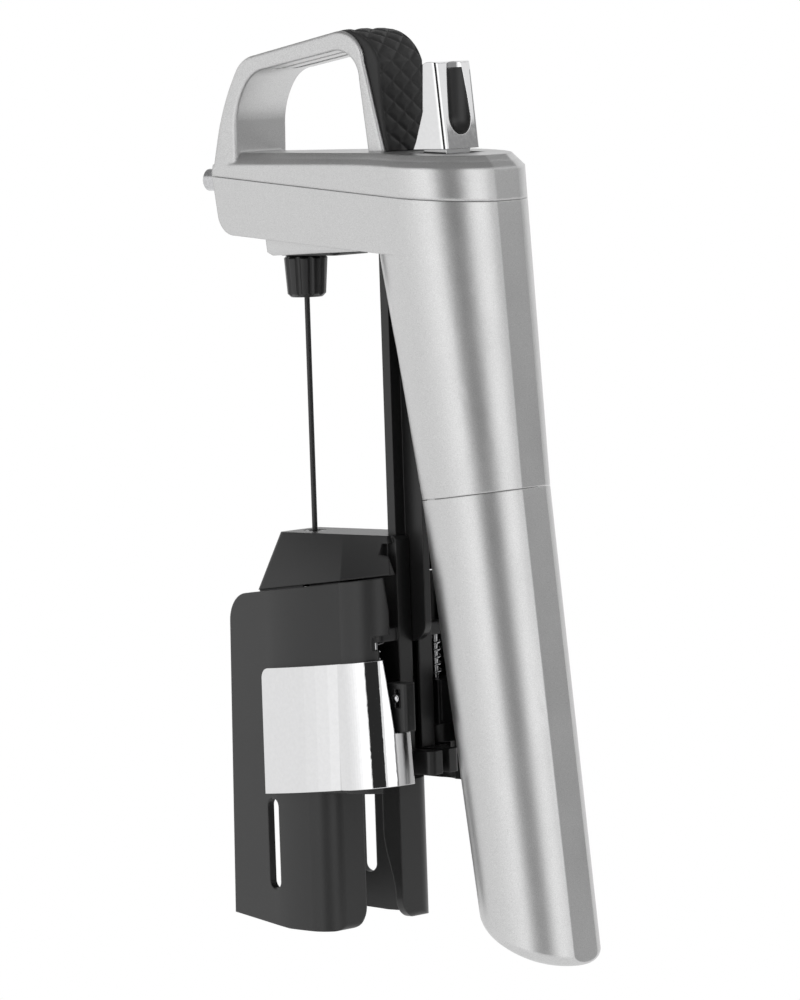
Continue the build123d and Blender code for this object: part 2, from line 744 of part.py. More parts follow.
def along_tube(low, high, r):
    """A cylinder on the tube's axis between two heights above the seam."""
    return tube_place * Pos(0, 0, (low + high) / 2) * Cylinder(r, high - low)


def regulator_body():
    """Pressure regulator inside the upper tube, with the stub that the cup screws on."""
    body = along_tube(regulator_base, regulator_top, regulator_r)
    body += along_tube(regulator_top, boss_top, 9.0)
    body += along_tube(1.0, regulator_base, regulator_stub_r)
    flange = tube_form(casing_wall + seat_gap, regulator_base + 2, regulator_base + 6)
    body += flange
    body -= along_tube(stem_bottom - valve_travel - part_gap, boss_top + 1, stem_r + run_fit)
    body -= along_tube(0, neck_seat, capsule_neck_r + part_gap)
    body -= along_tube(neck_seat - 1, neck_seat + 2.0, seal_seat_r + seat_gap)
    body -= along_tube(neck_seat, neck_seat + 8, piercer_r + seat_gap)
    body -= along_tube(neck_seat, stem_bottom, 0.8)
    return body - pipe(gas_route(), 3.0, pipe_r + seat_gap, 0)


neck_seat = 9.0
seal_seat_r = 3.6
piercer_r = 1.4


def capsule_seal():
    """Rubber seal above the capsule's neck."""
    ring = along_tube(neck_seat + 0.05, neck_seat + 1.95, seal_seat_r)
    return ring - along_tube(neck_seat - 1, neck_seat + 3, piercer_r + seat_gap)


def piercing_pin():
    """Hollow pin that opens the capsule."""
    pin = along_tube(neck_seat - 3.2, neck_seat + 8, piercer_r)
    return pin - along_tube(0, neck_seat + 9, 0.5)


def valve_stem():
    """Stem that the trigger pushes into the regulator."""
    stem = along_tube(stem_bottom, stem_top - stem_head, stem_r)
    return stem + along_tube(stem_top - stem_head, stem_top, 2.9)


def least_gap(path, wire, r):
    """Least gap of a coil to itself, measured on points at least a third of a turn apart."""
    count = int(path.length / (0.2 * r))
    points = [path @ (i / count) for i in range(count + 1)]
    apart = int(2 * pi * r / 3 * count / path.length) + 1
    gaps = [(points[i] - points[j]).length for i in range(count + 1) for j in range(i + apart, count + 1)]
    return min(gaps) - wire


def helix_tube(name, r, wire, pitch, turns, leg_start, leg_end):
    """A coil about +Z from its lower end, swept on biarcs, with straight tangent legs."""
    steps = 2 * turns
    rise = pitch / 2
    slope = pitch / (2 * pi)

    def point(i):
        a = radians(180 * i)
        return Vector(r * cos(a), r * sin(a), rise * i)

    def tangent(i):
        a = radians(180 * i)
        return Vector(-r * sin(a), r * cos(a), slope).normalized()

    edges = []
    if leg_start:
        edges.append(Line(point(0) - tangent(0) * leg_start, point(0)))
    for i in range(steps):
        p, q = point(i), point(i + 1)
        t, u = tangent(i), tangent(i + 1)
        chord = q - p
        both = t + u
        a = both.dot(both) - 4
        b = -2 * chord.dot(both)
        c = chord.dot(chord)
        d = (-b - sqrt(b * b - 4 * a * c)) / (2 * a)
        joint = (p + t * d + q - u * d) * 0.5
        first = TangentArc(p, joint, tangent=t)
        edges += [first, TangentArc(joint, q, tangent=first % 1)]
    if leg_end:
        edges.append(Line(point(steps), point(steps) + tangent(steps) * leg_end))
    path = Wire(edges)
    print(name, "least gap to itself", round(least_gap(path, wire, r), 2), "mm")
    start = Plane(origin=path @ 0, z_dir=path % 0)
    return sweep(start * Circle(wire / 2), path=path)


valve_spring_r = 2.5
valve_spring_wire = 0.5
valve_spring_turns = 3


def valve_spring():
    """Coil spring under the stem's head that returns the stem and the trigger."""
    room = stem_top - stem_head - boss_top - 0.2
    pitch = (room - valve_spring_wire) / valve_spring_turns
    coil = helix_tube("valve_spring", valve_spring_r, valve_spring_wire, pitch, valve_spring_turns, 0, 0)
    return tube_place * Pos(0, 0, boss_top + 0.1 + valve_spring_wire / 2) * coil


# ================================================================== capsule and cup
def capsule_cup():
    """Long cup that holds the gas capsule; its lower end is cut level."""
    low = tube_height(cup_bottom_z) - 4
    high = -seam_line
    ends = [(tube_radius(h), h) for h in (low, high)]
    outer = tube_place * loft([Pos(0, 0, h) * Circle(r) for r, h in ends], ruled=True)
    outer -= outside_dome()
    rim = outer.edges().filter_by(lambda e: e.center().Z < cup_bottom_z + 20 and e.length > 5 * seam_r)
    outer = fillet(rim, cup_edge_r)
    outer -= tube_place * loft([Pos(0, 0, h) * behind_flat(r) for r, h in ends], ruled=True)
    bore = tube_place * loft([
        Pos(0, 0, cup_floor()) * Circle(tube_radius(low) - cup_wall - 0.6),
        Pos(0, 0, 1) * Circle(tube_radius(0) - cup_wall - 0.6)], ruled=True)
    return outer - bore


def outside_dome():
    """What the domed end takes off the cup: a slab less a ball."""
    x, z = axis_x(cup_bottom_z) + cup_dome_back, cup_bottom_z
    high = 0.75 * cup_dome_r
    slab = box_between(x - 50, x + 50, -50, 50, z - 10, z + high)
    return slab - Pos(x, 0, z + cup_dome_r) * Sphere(cup_dome_r)


def cup_floor():
    """Height of the cup's inner floor above the seam (negative)."""
    return tube_height(cup_bottom_z) + 7.5


def cup_collar():
    """Threaded sleeve at the cup's mouth that screws on the regulator's stub."""
    fit_r = tube_radius(0) - cup_wall - 0.6 - 0.2
    sleeve = along_tube(-10.0, -seam_line, fit_r) + along_tube(-seam_line, collar_height, fit_r - 1.0)
    return sleeve - along_tube(-11, collar_height + 1, regulator_stub_r + run_fit)


def gas_capsule():
    """Steel gas capsule with a pierced neck."""
    shoulder = -2.0
    base = shoulder - capsule_length
    body = along_tube(base, shoulder - 9, capsule_r)
    body = fillet(body.edges().filter_by(GeomType.CIRCLE), 4.0)
    body += tube_place * Pos(0, 0, shoulder - 5.5) * Cone(capsule_r - 2.2, capsule_neck_r, 7)
    body += along_tube(shoulder - 14, shoulder - 8.9, capsule_r - 2.2)
    body += along_tube(shoulder - 3, neck_seat - 0.1, capsule_neck_r)
    inside = along_tube(base + capsule_wall, shoulder - 10, capsule_r - capsule_wall - 1)
    inside += along_tube(base, neck_seat, piercer_r + part_gap) - along_tube(base - 1, base + capsule_wall, 5)
    return body - inside


def capsule_rest():
    """Rubber post in the cup's end that pushes the capsule on its seat."""
    base = -2.0 - capsule_length
    post = along_tube(cup_floor() + 0.05, base - 0.1, 8.0)
    dish = along_tube(base - 4, base + 5, 12.6) - along_tube(base - 0.1, base + 6, capsule_r + 0.15)
    post += dish
    return post - along_tube(cup_floor() - 1, base - 8, 5.0)


# ================================================================== rail
def guide_rail():
    """Flange and web that carry the head; the clamp's column runs on the flange."""
    flange = box_between(rail_front_x, rail_back_x, -rail_half, rail_half, rail_bottom_z, rail_top_z)
    web = box_between(rail_back_x - 0.5, web_back_x, -web_half, web_half, rail_bottom_z, under_z(rail_back_x) - 0.2)
    corner = [e for e in web.edges().filter_by(Axis.Y)
              if e.center().X > web_back_x - 0.1 and e.center().Z < rail_bottom_z + 0.1]
    web = fillet(corner, web_corner_r)
    rail = flange + (web - casing_form(-seat_gap) - front_rib(-seat_gap))
    for z in rail_screw_heights:
        rail -= Pos(rail_front_x, 0, z) * Rot(0, 90, 0) * Cylinder(screw_r + seat_gap, 12)
    return rail


def rail_channel():
    """Room for the rail in the column and the bracket."""
    g = slide_gap
    flange = box_between(rail_front_x - g, rail_back_x + g, -rail_half - g, rail_half + g, -60, 80)
    return flange + box_between(rail_back_x, 60, -web_half - g, web_half + g, -60, 80)


# ================================================================== clamp housing
def housing_form():
    """Tapered hood from the flat top down to the jaws' seam, with its side walls open at the back."""
    low = housing_top_z - 17
    fold = (housing_back_x - housing_front_x) * 0.6 + housing_front_x
    spread = (housing_top_z - low) / (housing_top_z - seam_front_z - seam_slope * skirt_back_x)
    low_back_x = housing_back_x + spread * (skirt_back_x - housing_back_x)
    low_back_half = housing_top_half + spread * (skirt_back_half - housing_top_half)
    top = make_face(Polyline(
        (housing_front_x, housing_top_half), (fold, housing_top_half), (housing_back_x, housing_top_half),
        (housing_back_x, -housing_top_half), (fold, -housing_top_half),
        (housing_front_x, -housing_top_half), close=True))
    skirt = make_face(Polyline(
        (skirt_front_x, skirt_front_half), (skirt_fold_x, skirt_half), (low_back_x, low_back_half),
        (low_back_x, -low_back_half), (skirt_fold_x, -skirt_half), (skirt_front_x, -skirt_front_half), close=True))
    block = loft([Pos(0, 0, low) * skirt, Pos(0, 0, housing_top_z) * top], ruled=True)
    middle_z = (low + housing_top_z) / 2
    front_corners = block.edges().filter_by(lambda e: abs(e.center().Z - middle_z) < 1 and e.center().X < 0)
    block = fillet(front_corners, 1.6)
    block -= box_between(column_back_x, 60, -30, 30, low - 1, housing_top_z + 1) & inside_hood(low)
    for side in (1, -1):
        y0, y1 = side * column_half, side * (skirt_back_half - hood_wall)
        block -= box_between(column_back_x - 3, 60, min(y0, y1), max(y0, y1), low - 1, housing_top_z - 2)
    return block & above_slope(seam_front_z, seam_slope)


def inside_hood(low):
    """Room between the hood's side walls, behind the column."""
    half = skirt_back_half - hood_wall
    return box_between(0, 80, -half, half, low - 1, housing_top_z + 1)


def column_form():
    """Column behind the neck that carries the saddle and runs on the rail."""
    front = box_between(8.0, shoulder_x, -column_front_half, column_front_half, column_bottom_z, column_join_z)
    back = box_between(shoulder_x - 1, column_back_x, -column_half, column_half, column_bottom_z, housing_top_z)
    top_edges = [e for e in back.edges().filter_by(Axis.Y)
                 if e.center().X > column_back_x - 0.1 and e.center().Z > housing_top_z - 0.1]
    back = fillet(top_edges, 1.6)
    return front + back - rod(0, 0, -40, 60, pad_back_r)


def upper_lug(side):
    """Lug on the column that holds the upper end of one hinge pin."""
    y = side * pin_y
    lug = rod(pin_x, y, lug_bottom_z, lug_bottom_z + lug_thickness, bracket_lug_r - 0.2)
    return lug + box_between(pin_x - 3.2, pin_x + 3.2, min(0, y), max(0, y), lug_bottom_z, lug_bottom_z + lug_thickness)


def clamp_housing():
    """Housing that the needle passes through, with the column and lugs."""
    body = housing_form() + column_form() + upper_lug(1) + upper_lug(-1)
    body -= rod(0, 0, 20, lip_stop_z + stop_pad_thickness, stop_pad_r + seat_gap)
    body -= rod(0, 0, lip_stop_z - 1, housing_top_z + 1, guide_r + seat_gap)
    body -= rail_channel()
    for side in (1, -1):
        body -= rod(pin_x, side * pin_y, -30, 25, pin_r + seat_gap)
        body -= rod(bracket_screw_x, side * bracket_screw_y, -30, column_bottom_z + 7.3, screw_r + seat_gap)
    pocket = brake_pad_thickness + seat_gap
    half = brake_pad_half + seat_gap
    body -= box_between(rail_front_x - slide_gap - pocket, rail_front_x, -half, half,
                        -brake_pad_height / 2 - seat_gap, brake_pad_height / 2 + seat_gap)
    return body


stop_pad_r = 12.6
bracket_screw_x = 26.6
bracket_screw_y = 4.4


def needle_guide():
    """Bush that guides the needle through the housing."""
    bush = rod(0, 0, lip_stop_z + stop_pad_thickness + 0.02, housing_top_z - 0.1, guide_r)
    funnel = Pos(0, 0, housing_top_z - 0.8) * Cone(needle_r + 0.1, 2.0, 1.7)
    return bush - rod(0, 0, 20, 60, needle_r + 0.08) - funnel


def stop_pad():
    """Rubber ring that the bottle's mouth stops against."""
    ring = rod(0, 0, lip_stop_z, lip_stop_z + stop_pad_thickness - 0.02, stop_pad_r)
    return ring - rod(0, 0, 20, 60, 3.4)


def neck_saddle():
    """Rubber saddle behind the bottle's neck."""
    return sector(neck_r, pad_back_r - seat_gap, -saddle_half_angle, saddle_half_angle,
                  -grip_half_height, grip_half_height)


def rail_brake_pad():
    """Pad in the column that rubs on the rail and holds the head where it is put."""
    front = rail_front_x - slide_gap - brake_pad_thickness
    return box_between(front, rail_front_x - run_fit, -brake_pad_half, brake_pad_half,
                       -brake_pad_height / 2, brake_pad_height / 2)


def lower_bracket():
    """Plate under the column that holds the lower ends of the hinge pins."""
    z0, z1 = bracket_bottom_z, column_bottom_z
    plate = box_between(bracket_front_x, 36, -column_half, column_half, z0, z1)
    plate += box_between(35, bracket_back_x, -bracket_back_half, bracket_back_half, z0, z1)
    plate += box_between(pin_x - bracket_lug_r, pin_x + bracket_lug_r, -pin_y, pin_y, z0, z1)
    for side in (1, -1):
        plate += rod(pin_x, side * pin_y, z0, z1, bracket_lug_r)
    plate = fillet(plate.edges().filter_by(Axis.Z).filter_by(lambda e: e.center().X > 42), 2.0)
    for side in (1, -1):
        plate -= rod(pin_x, side * pin_y, z0 + 0.6, 0, pin_r + seat_gap)
        plate -= rod(bracket_screw_x, side * bracket_screw_y, z0 - 1, 0, screw_r + seat_gap)
        plate -= rod(bracket_screw_x, side * bracket_screw_y, z0 - 1, z0 + screw_head_height, screw_head_r + 0.1)
    return plate - rail_channel()


def bracket_screws():
    """Two screws that hold the lower bracket to the column."""
    screws = []
    for side in (1, -1):
        x, y, z = bracket_screw_x, side * bracket_screw_y, bracket_bottom_z
        head = rod(x, y, z, z + screw_head_height, screw_head_r) - rod(x, y, z - 1, z + 0.7, 0.9)
        screws.append(head + rod(x, y, z + screw_head_height, column_bottom_z + 7.0, screw_r))
    return Compound(children=screws)


def hinge_pins():
    """The two vertical pins that the jaws turn on."""
    z0, z1 = bracket_bottom_z + 0.65, lug_bottom_z + lug_thickness
    return Compound(children=[rod(pin_x, side * pin_y, z0, z1, pin_r) for side in (1, -1)])


def jaw_spring():
    """Torsion spring round the far hinge pin, above the knuckle."""
    coil = helix_tube("jaw_spring", spring_r, spring_wire, spring_pitch, spring_turns, spring_leg, spring_column_leg)
    return Pos(pin_x, pin_y, spring_foot_z) * Rot(0, 0, 200) * coil


# ================================================================== jaws (far one; the near one is its mirror)
def jaw_face(flare, inner_y):
    """Plan of the far jaw, from its outer curve in to a straight inner line."""
    rear = jaw_rear_r + flare
    knee = (pin_x + rear * cos(radians(50)), pin_y + rear * sin(radians(50)))
    with BuildSketch() as plan:
        with BuildLine():
            side = Line((jaw_front_x, jaw_front_y), (jaw_bend_x, jaw_bend_y))
            flank = ThreePointArc(side @ 1, (jaw_side_x, jaw_side_y), (jaw_shoulder_x, jaw_shoulder_y))
            corner = ThreePointArc(flank @ 1, knee, (pin_x + rear, pin_y))
            Polyline(corner @ 1, (pin_x + rear, inner_y), (jaw_front_x, inner_y), side @ 0)
        make_face()
    return plan.sketch


def leg_face():
    """Plan of the leg below the plate: the jaw's plan cut short behind the neck."""
    width = leg_back_x - jaw_front_x
    cut = jaw_face(0, leg_inner_y) & (Pos(jaw_front_x + width / 2, 15) * Rectangle(width, 30))
    corner = [v for v in cut.vertices() if abs(v.X - leg_back_x) < 0.01 and v.Y > 18]
    return fillet(corner, leg_corner_r)


def jaw_side():
    """Side outline of a jaw, in X and Z."""
    top_gap = 0.4
    top_x = jaw_front_x + jaw_front_lean
    top_front = seam_front_z + seam_slope * top_x - top_gap
    outline = Polyline(
        (top_x, top_front), (jaw_front_x, jaw_bottom_front_z), (5.0, jaw_bottom_z + 0.2),
        (leg_back_x, jaw_bottom_z), (leg_back_x, leg_top_z), (50.0, leg_top_z),
        (50.0, seam_front_z + seam_slope * 50.0 - top_gap), close=True)
    face = make_face(outline)
    face = fillet([v for v in face.vertices() if abs(v.X - top_x) < 0.01], jaw_top_corner_r)
    return fillet([v for v in face.vertices()
                   if abs(v.X - leg_back_x) < 0.01 and v.Y < leg_top_z - 1], 1.2)


def jaw_shell():
    """Soft black shell of the far jaw with its knuckle, heel and pad seat."""
    upper, leg = jaw_face(0, leg_inner_y), leg_face()
    high = 40.0
    front_strip = Pos(0, 4) * Rectangle(200, 20)
    wall = upper - offset(upper, -jaw_wall) - front_strip
    leg_strip = Pos(leg_back_x - jaw_wall - 50, 4) * Rectangle(100, 20)
    leg_wall = leg - offset(leg, -jaw_wall) - leg_strip
    shell = Pos(0, 0, leg_top_z) * extrude(wall, amount=high - leg_top_z) - jaw_rear_cut()
    leg_height = leg_top_z - jaw_bottom_z + 1
    rear_wall = extrude(leg, amount=leg_height) & side_extrusion(gusset_side(), 60)
    lower = Pos(0, 0, jaw_bottom_z - 1) * (extrude(leg_wall, amount=leg_height) + rear_wall)
    shell += lower & leg_end()
    solid = Pos(0, 0, leg_top_z) * extrude(upper, amount=high - leg_top_z)
    seat = sector(pad_back_r, pad_back_r + 1.8, pad_start_angle, pad_end_angle, -grip_half_height, grip_half_height)
    rib = sector(pad_back_r + 1, 30, pad_start_angle, pad_end_angle, -1.1, 1.1)
    reach = grip_half_height - 1.1
    ribs = (rib + Pos(0, 0, reach) * rib + Pos(0, 0, -reach) * rib) & solid
    jaw = (shell + seat + ribs) & side_extrusion(jaw_side(), 60)
    jaw -= slot_cut()
    jaw += knuckle()
    jaw -= Pos(keeper_x, 20, keeper_z) * Rot(90, 0, 0) * Cylinder(keeper_pin_r + seat_gap, 30)
    return jaw - rod(pin_x, pin_y, -30, 30, pin_r + run_fit)


keeper_x = 38.8
keeper_z = 2.8


def jaw_rear_cut():
    """Slanted cut behind the hinge that bares the knuckle, with the notch above the plate."""
    far, wide = 60.0, 40.0
    side = make_face(Polyline(
        (-wide, leg_top_z - 1), (notch_rear_y, leg_top_z - 1), (notch_rear_y, notch_top_z),
        (jaw_rear_low_y, notch_top_z), (jaw_rear_top_y, seam_front_z + seam_slope * pin_x),
        (jaw_rear_top_y, wide + 1), (-wide, wide + 1), close=True))
    cut = Pos(pin_x, 0, 0) * extrude(Plane.YZ * side, amount=far - pin_x)
    return cut + box_between(notch_front_x, far, 0, wide, notch_bottom_z, notch_top_z)


def gusset_side():
    """Side outline of the leg's rear wall, thick at its top and tapering to the wall's thickness."""
    base = jaw_bottom_z - 1
    back = leg_back_x + 1
    with BuildSketch() as side:
        with BuildLine():
            top = Line((leg_back_x - leg_gusset, leg_top_z - base), (leg_back_x - leg_gusset, leg_gusset_z - base))
            taper = Spline(top @ 1, (leg_back_x - jaw_wall, leg_gusset_z - base - 18), tangents=[(0, -1), (0.1, -1)])
            Polyline(taper @ 1, (leg_back_x - jaw_wall, 0), (back, 0), (back, leg_top_z - base), top @ 0)
        make_face()
    return side.sketch


def leg_end():
    """The leg's room seen along X, rounded at the lower inner corner."""
    high = leg_top_z - jaw_bottom_z + 2
    room = Pos(leg_inner_y + 15, jaw_bottom_z + high / 2) * Rectangle(30, high)
    corner = [v for v in room.vertices() if v.X < leg_inner_y + 0.1 and v.Y < jaw_bottom_z + 0.1]
    return Pos(-30, 0, 0) * extrude(Plane.YZ * fillet(corner, leg_end_r), amount=100)


def slot_cut():
    """Vertical slot through the leg's wall."""
    height = slot_top_z - slot_bottom_z
    slot = extrude(SlotOverall(height, slot_width), amount=30)
    return Pos(slot_x, 8, (slot_top_z + slot_bottom_z) / 2) * Rot(-90, 0, 0) * Rot(0, 0, 90) * slot


def knuckle():
    """Knuckle block round the hinge pin, the web to the shell and the heel behind it."""
    z0 = column_bottom_z + part_gap
    barrel = rod(pin_x, pin_y, z0, knuckle_top_z, knuckle_r)
    inside = Pos(0, 0, z0) * extrude(offset(jaw_face(0, 0), -0.8), amount=knuckle_top_z - z0)
    block = box_between(knuckle_front_x, pin_x + 3.4, knuckle_inner_y, 24, knuckle_block_bottom_z, knuckle_top_z)
    block = block & inside
    for z in (knuckle_block_bottom_z + 3.0, knuckle_block_bottom_z + 7.4):
        block -= box_between(knuckle_front_x + 1.6, pin_x - 2.0, 0, knuckle_inner_y + 1.2, z, z + 1.9)
    heel = box_between(pin_x, heel_back_x, heel_inner_y, heel_outer_y, knuckle_block_bottom_z + 1.0, knuckle_top_z)
    heel += box_between(pin_x + knuckle_r + part_gap + 2, heel_back_x, heel_inner_y, heel_outer_y, 0, heel_top_z)
    heel = fillet(heel.edges().filter_by(Axis.Z).filter_by(lambda e: e.center().X > heel_back_x - 1), 1.0)
    heel -= box_between(keeper_x, heel_back_x - 1.8, heel_outer_y - 1.4, 24, keeper_z - 2.4, keeper_z + 2.4)
    web = box_between(pin_x - 2.2, pin_x + 3.2, pin_y, 24, z0, knuckle_top_z) & inside
    return barrel + block + heel + web


def jaw_plate():
    """Chrome plate wrapped round the far jaw's shell."""
    z0, z1 = -30.0, 20.0
    reach = plate_top_z - plate_bottom_z
    faces = [(z, jaw_face(plate_flare * (plate_top_z + 5 - z) / reach, 0)) for z in (z0, z1)]
    corners = Kind.INTERSECTION
    outer = loft([Pos(0, 0, z) * offset(f, plate_thickness, kind=corners) for z, f in faces], ruled=True)
    inner = loft([Pos(0, 0, z) * offset(f, seat_gap, kind=corners) for z, f in faces], ruled=True)
    plate = outer - inner
    far = 50.0
    outline = Polyline(
        (plate_front_x, plate_bottom_z + plate_slope * plate_front_x),
        (far, plate_bottom_z + plate_slope * far), (far, plate_top_z + plate_slope * far),
        (plate_front_x, plate_top_z + plate_slope * plate_front_x), close=True)
    face = make_face(outline)
    face = fillet([v for v in face.vertices() if v.X < 0 and v.Y > 0], plate_corner_r)
    plate = plate & side_extrusion(face, 60)
    edge = make_face(Polyline(
        (-20, tab_top_z), (plate_edge_low_y, tab_top_z), (plate_edge_top_y, plate_top_z + plate_slope * pin_x),
        (plate_edge_top_y, 40), (-20, 40), close=True))
    plate -= Pos(-30, 0, 0) * extrude(Plane.YZ * edge, amount=100)
    return plate - box_between(-30, 70, -20, tab_inner_y, -60, 40)


def grip_pad():
    """Rubber pad of the far jaw that grips the neck."""
    return sector(neck_r, pad_back_r - seat_gap, pad_start_angle, pad_end_angle, -grip_half_height, grip_half_height)


def keeper_pin():
    """Cross pin in the far jaw's heel, with a domed end."""
    pin = Pos(keeper_x, heel_outer_y - 2.05, keeper_z) * Rot(90, 0, 0) * Cylinder(keeper_pin_r, 4.1)
    dome = Pos(keeper_x, heel_outer_y - 0.9, keeper_z) * Sphere(1.3)
    return pin + (dome & box_between(30, 45, heel_outer_y - 0.1, 20, -5, 10))


# ================================================================== write the parts
makers = {
    "top_cover": top_cover, "body_casing": body_casing, "handle_grip": handle_grip,
    "cover_screws": cover_screws, "pour_spout": pour_spout, "wine_tube": wine_tube, "gas_tube": gas_tube,
    "valve_block": valve_block, "needle_seal": needle_seal, "needle": needle, "needle_nut": needle_nut,
    "trigger": trigger, "trigger_pin": trigger_pin, "valve_stem": valve_stem, "valve_spring": valve_spring,
    "regulator_body": regulator_body, "capsule_seal": capsule_seal, "piercing_pin": piercing_pin,
    "gas_capsule": gas_capsule, "capsule_cup": capsule_cup, "cup_collar": cup_collar,
    "capsule_rest": capsule_rest, "guide_rail": guide_rail, "rail_screws": rail_screws,
    "clamp_housing": clamp_housing, "needle_guide": needle_guide, "stop_pad": stop_pad,
    "neck_saddle": neck_saddle, "rail_brake_pad": rail_brake_pad, "lower_bracket": lower_bracket,
    "bracket_screws": bracket_screws, "hinge_pins": hinge_pins,
}
jaw_makers = {
    "jaw_spring": jaw_spring, "jaw_shell": jaw_shell, "jaw_plate": jaw_plate, "grip_pad": grip_pad,
    "keeper_pin": keeper_pin,
}

shapes = {}
for name, make in makers.items():
    shapes[name] = make()
for name, make in jaw_makers.items():
    shapes["far_" + name] = make()
    shapes["near_" + name] = mirror_y(shapes["far_" + name])

os.makedirs("parts", exist_ok=True)
for name, shape in shapes.items():
    export_step(shape, os.path.join("parts", name + ".step"))
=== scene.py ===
import bmesh
import bpy
import json
from math import acos, cos, pi, radians, sin, sqrt, tan
from mathutils import Matrix, Vector
from mathutils.bvhtree import BVHTree


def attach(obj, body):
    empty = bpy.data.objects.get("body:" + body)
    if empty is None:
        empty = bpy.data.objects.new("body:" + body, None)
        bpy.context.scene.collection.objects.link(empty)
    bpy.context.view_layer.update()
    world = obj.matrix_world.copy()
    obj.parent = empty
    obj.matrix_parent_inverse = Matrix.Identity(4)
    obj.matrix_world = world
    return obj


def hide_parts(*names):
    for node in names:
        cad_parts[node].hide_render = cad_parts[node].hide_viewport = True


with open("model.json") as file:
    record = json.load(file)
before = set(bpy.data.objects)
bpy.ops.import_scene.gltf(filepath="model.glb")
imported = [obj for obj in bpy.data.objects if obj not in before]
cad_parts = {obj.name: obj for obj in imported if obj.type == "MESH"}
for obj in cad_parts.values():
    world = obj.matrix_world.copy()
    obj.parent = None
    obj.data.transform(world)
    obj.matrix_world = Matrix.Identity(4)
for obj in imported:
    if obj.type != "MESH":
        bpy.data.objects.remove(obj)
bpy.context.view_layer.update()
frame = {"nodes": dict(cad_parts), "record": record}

NODES = frame["nodes"]
SCENE = bpy.context.scene
SCENE.view_settings.view_transform = "Standard"


# ---------------------------------------- camera
def make_camera():
    """The photograph's view: azimuth, height above level, roll and distance were fitted to its edges."""
    azimuth, elevation, roll = radians(40.0), radians(4.5), radians(-1.9)
    distance = 1.9
    focal_px, width, height = 7090.0, 800.0, 1000.0
    sensor = 36.0
    aim, aim_px = Vector((0.0, 0.0, 0.045)), (315.0, 530.0)      # a point on the needle, and its pixel
    level = Vector((cos(azimuth), sin(azimuth), 0.0))
    upright = Vector((-sin(azimuth) * sin(elevation), cos(azimuth) * sin(elevation), cos(elevation)))
    ahead = Vector((-sin(azimuth) * cos(elevation), cos(azimuth) * cos(elevation), -sin(elevation)))
    right = cos(roll) * level + sin(roll) * upright
    up = -sin(roll) * level + cos(roll) * upright
    across = (aim_px[0] - width / 2) / focal_px * distance
    down = (aim_px[1] - height / 2) / focal_px * distance
    place = aim - (ahead * distance + right * across - up * down)
    data = bpy.data.cameras.new("camera")
    data.sensor_width = sensor
    data.lens = focal_px / height * sensor
    data.clip_start, data.clip_end = 0.1, 20.0
    camera = bpy.data.objects.new("camera", data)
    SCENE.collection.objects.link(camera)
    turn = Matrix((right, up, -ahead)).transposed()
    camera.matrix_world = Matrix.Translation(place) @ turn.to_4x4()
    SCENE.camera = camera


# ---------------------------------------- materials
class Nodes:
    """A material's node tree with short ways to add and join nodes."""

    bevel_samples = 6

    def __init__(self, name):
        self.material = bpy.data.materials.new(name)
        self.material.use_nodes = True
        self.tree = self.material.node_tree
        self.shader = self.tree.nodes["Principled BSDF"]
        self.coords = self.tree.nodes.new("ShaderNodeTexCoord").outputs["Object"]

    def add(self, kind, **inputs):
        """A new node, with its inputs set or joined. An underscore stands for a space in a name."""
        node = self.tree.nodes.new(kind)
        for name, value in inputs.items():
            self.put(node, name.replace("_", " "), value)
        return node

    def put(self, node, name, value):
        """Joins an input to another node's output, or sets it to a plain value."""
        socket = node.inputs[name]
        if isinstance(value, bpy.types.NodeSocket):
            self.tree.links.new(value, socket)
        else:
            socket.default_value = value

    def noise(self, scale, detail=2.0, roughness=0.5):
        """Noise in the piece's own coordinates."""
        node = self.add("ShaderNodeTexNoise", Scale=scale, Detail=detail, Roughness=roughness)
        self.put(node, "Vector", self.coords)
        return node.outputs["Fac"]

    def spread(self, value, low, high, start=0.3, end=0.7):
        """Takes values between start and end to values between low and high."""
        node = self.add("ShaderNodeMapRange", From_Min=start, From_Max=end, To_Min=low, To_Max=high,
                        Value=value)
        return node.outputs["Result"]

    def tint(self, value, dark, light, start=0.3, end=0.7):
        """Takes values between start and end to colours between dark and light."""
        node = self.add("ShaderNodeValToRGB", Fac=value)
        for element, position, colour in zip(node.color_ramp.elements, (start, end), (dark, light)):
            element.position = position
            element.color = (*colour, 1.0)
        return node.outputs["Color"]

    def bump(self, height, strength, distance, edge=0.0):
        """Fine relief, over edges that are shaded as if rounded by the edge radius."""
        node = self.add("ShaderNodeBump", Strength=strength, Distance=distance, Height=height)
        if edge:
            soft = self.add("ShaderNodeBevel", Radius=edge)
            soft.samples = self.bevel_samples
            self.put(node, "Normal", soft.outputs["Normal"])
        self.put(self.shader, "Normal", node.outputs["Normal"])

    def surface(self, **inputs):
        """Sets or joins inputs of the shader."""
        for name, value in inputs.items():
            self.put(self.shader, name.replace("_", " "), value)


def grey(shade, blue=1.02):
    """A grey with a trace of blue, or a plain one where blue is 1."""
    return (shade, shade, shade * blue)


def satin_silver(name, edge):
    """Silver paint with fine metal flakes."""
    m = Nodes(name)
    flakes = m.noise(5200.0, detail=1.0, roughness=0.6)
    cloud = m.noise(60.0, detail=3.0)
    m.surface(Base_Color=m.tint(flakes, grey(0.52, 1), grey(0.69, 1), end=0.72), Metallic=1.0,
              Roughness=m.spread(cloud, 0.34, 0.38))
    m.bump(flakes, strength=0.14, distance=0.00005, edge=edge)
    return m.material


def chrome():
    """Bright chrome plate with faint polishing marks."""
    m = Nodes("chrome")
    wear = m.noise(900.0, detail=4.0)
    m.surface(Base_Color=m.tint(wear, (0.71, 0.71, 0.715), (0.74, 0.74, 0.745)), Metallic=1.0,
              Roughness=m.spread(wear, 0.02, 0.05))
    m.bump(wear, strength=0.01, distance=0.00002, edge=0.0003)
    return m.material


